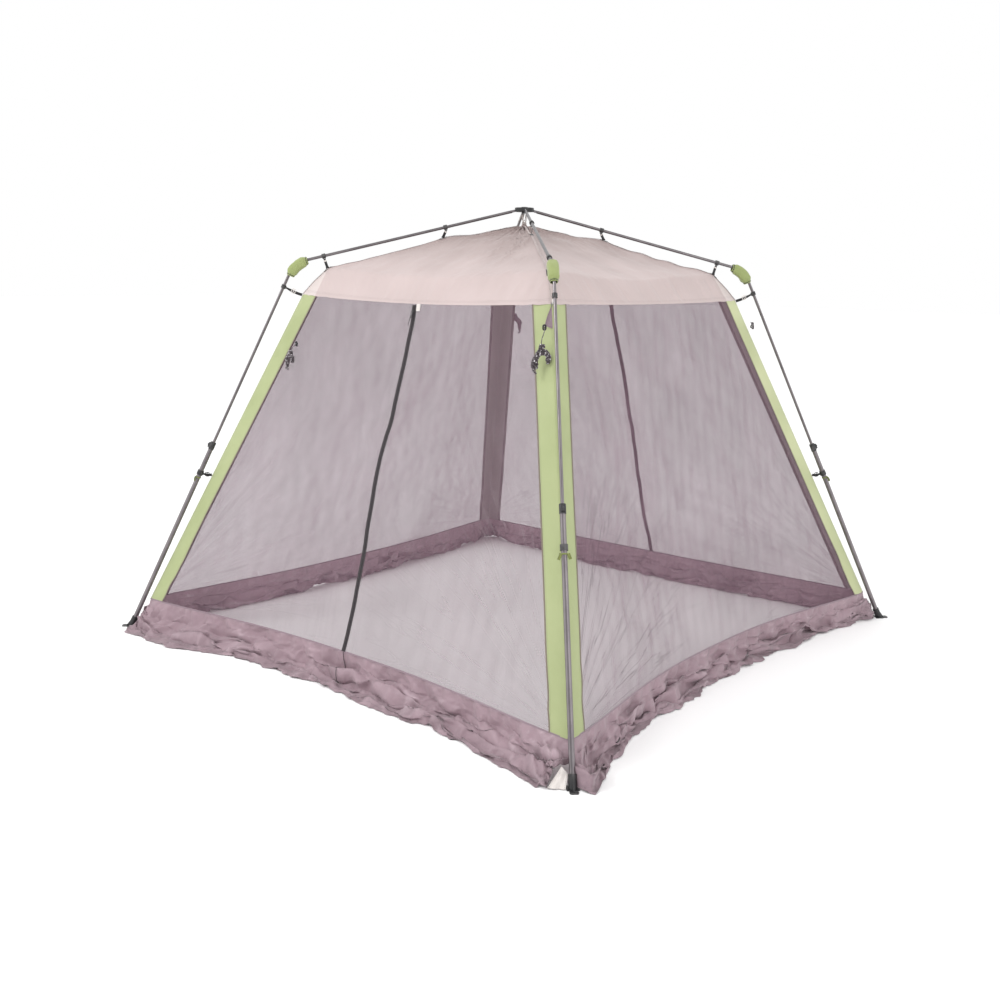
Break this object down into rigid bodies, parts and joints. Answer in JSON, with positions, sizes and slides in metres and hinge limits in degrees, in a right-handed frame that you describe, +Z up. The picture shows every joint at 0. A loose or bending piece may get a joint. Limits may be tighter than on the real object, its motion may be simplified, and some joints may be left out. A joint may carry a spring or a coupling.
{
  "type": "screen house",
  "caption": "Instant pop-up screened shelter: folding hub frame with telescoping legs, sheet roof, netting walls with zipped doors and a ground skirt.",
  "frame": {"origin": "centre of the square footprint, at ground level under the hub", "axes": "+Z up; -Y faces one zipped door wall, +Y the other; each leg stands on a diagonal"},
  "size_m": [3.1358, 3.1358, 2.3075],
  "materials": {
    "steel_tube": "satin grey powder coat",
    "black_plastic": "moulded, satin",
    "pin_steel": "zinc plated",
    "button_plastic": "moulded, satin",
    "roof_fabric": "coated polyester, slightly translucent",
    "screen_mesh": "knitted no-see-um mesh",
    "strip_fabric": "woven polyester",
    "skirt_fabric": "coated polyester",
    "zip_tape": "woven tape with nylon coil",
    "zip_metal": "die cast, painted",
    "cord": "braided cord",
    "cover_fabric": "woven polyester"
  },
  "bodies": {
    "hub": {"hub_body": "black_plastic", "hub_pins": "pin_steel", "canopy": "roof_fabric", "door_walls": "screen_mesh", "plain_walls": "screen_mesh", "corner_strips": "strip_fabric", "ground_skirt": "skirt_fabric", "door_zips": "zip_tape", "guy_lines": "cord", "knee_covers": "cover_fabric"},
    "roof_pole_front": {"roof_pole_front": "steel_tube", "roof_clips_front": "black_plastic", "knee_fork_front": "black_plastic", "knee_pin_front": "pin_steel"},
    "upper_leg_front": {"upper_leg_front": "steel_tube", "knee_knuckle_front": "black_plastic", "upper_clip_front": "black_plastic"},
    "lower_leg_front": {"lower_leg_front": "steel_tube", "leg_collar_front": "black_plastic", "lower_clip_front": "black_plastic", "foot_front": "black_plastic"},
    "lock_button_front": {"lock_button_front": "button_plastic"},
    "roof_pole_right": {"roof_pole_right": "steel_tube", "roof_clips_right": "black_plastic", "knee_fork_right": "black_plastic", "knee_pin_right": "pin_steel"},
    "upper_leg_right": {"upper_leg_right": "steel_tube", "knee_knuckle_right": "black_plastic", "upper_clip_right": "black_plastic"},
    "lower_leg_right": {"lower_leg_right": "steel_tube", "leg_collar_right": "black_plastic", "lower_clip_right": "black_plastic", "foot_right": "black_plastic"},
    "lock_button_right": {"lock_button_right": "button_plastic"},
    "roof_pole_back": {"roof_pole_back": "steel_tube", "roof_clips_back": "black_plastic", "knee_fork_back": "black_plastic", "knee_pin_back": "pin_steel"},
    "upper_leg_back": {"upper_leg_back": "steel_tube", "knee_knuckle_back": "black_plastic", "upper_clip_back": "black_plastic"},
    "lower_leg_back": {"lower_leg_back": "steel_tube", "leg_collar_back": "black_plastic", "lower_clip_back": "black_plastic", "foot_back": "black_plastic"},
    "lock_button_back": {"lock_button_back": "button_plastic"},
    "roof_pole_left": {"roof_pole_left": "steel_tube", "roof_clips_left": "black_plastic", "knee_fork_left": "black_plastic", "knee_pin_left": "pin_steel"},
    "upper_leg_left": {"upper_leg_left": "steel_tube", "knee_knuckle_left": "black_plastic", "upper_clip_left": "black_plastic"},
    "lower_leg_left": {"lower_leg_left": "steel_tube", "leg_collar_left": "black_plastic", "lower_clip_left": "black_plastic", "foot_left": "black_plastic"},
    "lock_button_left": {"lock_button_left": "button_plastic"},
    "zip_slider_front": {"zip_slider_front": "zip_metal"},
    "zip_slider_back": {"zip_slider_back": "zip_metal"}
  },
  "joints": [
    {"name": "roof_fold_front", "type": "hinge", "parent": "hub", "child": "roof_pole_front", "pos_m": [0.02687, -0.02687, 2.2893], "axis": [-0.7071, -0.7071, 0], "range_deg": [0, 104], "deforming": ["canopy", "door_walls", "plain_walls", "corner_strips", "ground_skirt", "door_zips", "guy_lines", "knee_covers"]},
    {"name": "knee_front", "type": "hinge", "parent": "roof_pole_front", "child": "upper_leg_front", "pos_m": [0.84799, -0.84799, 1.98331], "axis": [0.7071, 0.7071, 0], "range_deg": [0, 129.11]},
    {"name": "leg_slide_front", "type": "slide", "parent": "upper_leg_front", "child": "lower_leg_front", "axis": [-0.3001, 0.3001, 0.9055], "range_m": [0, 0.9], "stiffness_N_per_m": 50, "springref_m": -1.2},
    {"name": "button_press_front", "type": "slide", "parent": "lower_leg_front", "child": "lock_button_front", "axis": [-0.6403, 0.6403, -0.4244], "range_m": [0, 0.0035], "stiffness_N_per_m": 600},
    {"name": "roof_fold_right", "type": "hinge", "parent": "hub", "child": "roof_pole_right", "pos_m": [0.02687, 0.02687, 2.2893], "axis": [0.7071, -0.7071, 0], "range_deg": [0, 104]},
    {"name": "knee_right", "type": "hinge", "parent": "roof_pole_right", "child": "upper_leg_right", "pos_m": [0.84799, 0.84799, 1.98331], "axis": [-0.7071, 0.7071, 0], "range_deg": [0, 129.11]},
    {"name": "leg_slide_right", "type": "slide", "parent": "upper_leg_right", "child": "lower_leg_right", "axis": [-0.3001, -0.3001, 0.9055], "range_m": [0, 0.9], "stiffness_N_per_m": 50, "springref_m": -1.2},
    {"name": "button_press_right", "type": "slide", "parent": "lower_leg_right", "child": "lock_button_right", "axis": [-0.6403, -0.6403, -0.4244], "range_m": [0, 0.0035], "stiffness_N_per_m": 600},
    {"name": "roof_fold_back", "type": "hinge", "parent": "hub", "child": "roof_pole_back", "pos_m": [-0.02687, 0.02687, 2.2893], "axis": [0.7071, 0.7071, 0], "range_deg": [0, 104]},
    {"name": "knee_back", "type": "hinge", "parent": "roof_pole_back", "child": "upper_leg_back", "pos_m": [-0.84799, 0.84799, 1.98331], "axis": [-0.7071, -0.7071, 0], "range_deg": [0, 129.11]},
    {"name": "leg_slide_back", "type": "slide", "parent": "upper_leg_back", "child": "lower_leg_back", "axis": [0.3001, -0.3001, 0.9055], "range_m": [0, 0.9], "stiffness_N_per_m": 50, "springref_m": -1.2},
    {"name": "button_press_back", "type": "slide", "parent": "lower_leg_back", "child": "lock_button_back", "axis": [0.6403, -0.6403, -0.4244], "range_m": [0, 0.0035], "stiffness_N_per_m": 600},
    {"name": "roof_fold_left", "type": "hinge", "parent": "hub", "child": "roof_pole_left", "pos_m": [-0.02687, -0.02687, 2.2893], "axis": [-0.7071, 0.7071, 0], "range_deg": [0, 104]},
    {"name": "knee_left", "type": "hinge", "parent": "roof_pole_left", "child": "upper_leg_left", "pos_m": [-0.84799, -0.84799, 1.98331], "axis": [0.7071, -0.7071, 0], "range_deg": [0, 129.11]},
    {"name": "leg_slide_left", "type": "slide", "parent": "upper_leg_left", "child": "lower_leg_left", "axis": [0.3001, 0.3001, 0.9055], "range_m": [0, 0.9], "stiffness_N_per_m": 50, "springref_m": -1.2},
    {"name": "button_press_left", "type": "slide", "parent": "lower_leg_left", "child": "lock_button_left", "axis": [0.6403, 0.6403, -0.4244], "range_m": [0, 0.0035], "stiffness_N_per_m": 600},
    {"name": "zip_open_front", "type": "slide", "parent": "upper_leg_front", "child": "zip_slider_front", "axis": [0, -0.2872, -0.9579], "range_m": [0, 1.6]},
    {"name": "zip_open_back", "type": "slide", "parent": "upper_leg_back", "child": "zip_slider_back", "axis": [0, 0.3337, -0.9427], "range_m": [0, 1.6]}
  ],
  "couplings": [
    {"joint": "knee_front", "follows": "roof_fold_front", "ratio": 1.2415},
    {"joint": "roof_fold_right", "follows": "roof_fold_front", "ratio": 1},
    {"joint": "leg_slide_right", "follows": "leg_slide_front", "ratio": 1},
    {"joint": "knee_right", "follows": "roof_fold_front", "ratio": 1.2415},
    {"joint": "roof_fold_back", "follows": "roof_fold_front", "ratio": 1},
    {"joint": "leg_slide_back", "follows": "leg_slide_front", "ratio": 1},
    {"joint": "knee_back", "follows": "roof_fold_front", "ratio": 1.2415},
    {"joint": "roof_fold_left", "follows": "roof_fold_front", "ratio": 1},
    {"joint": "leg_slide_left", "follows": "leg_slide_front", "ratio": 1},
    {"joint": "knee_left", "follows": "roof_fold_front", "ratio": 1.2415}
  ]
}
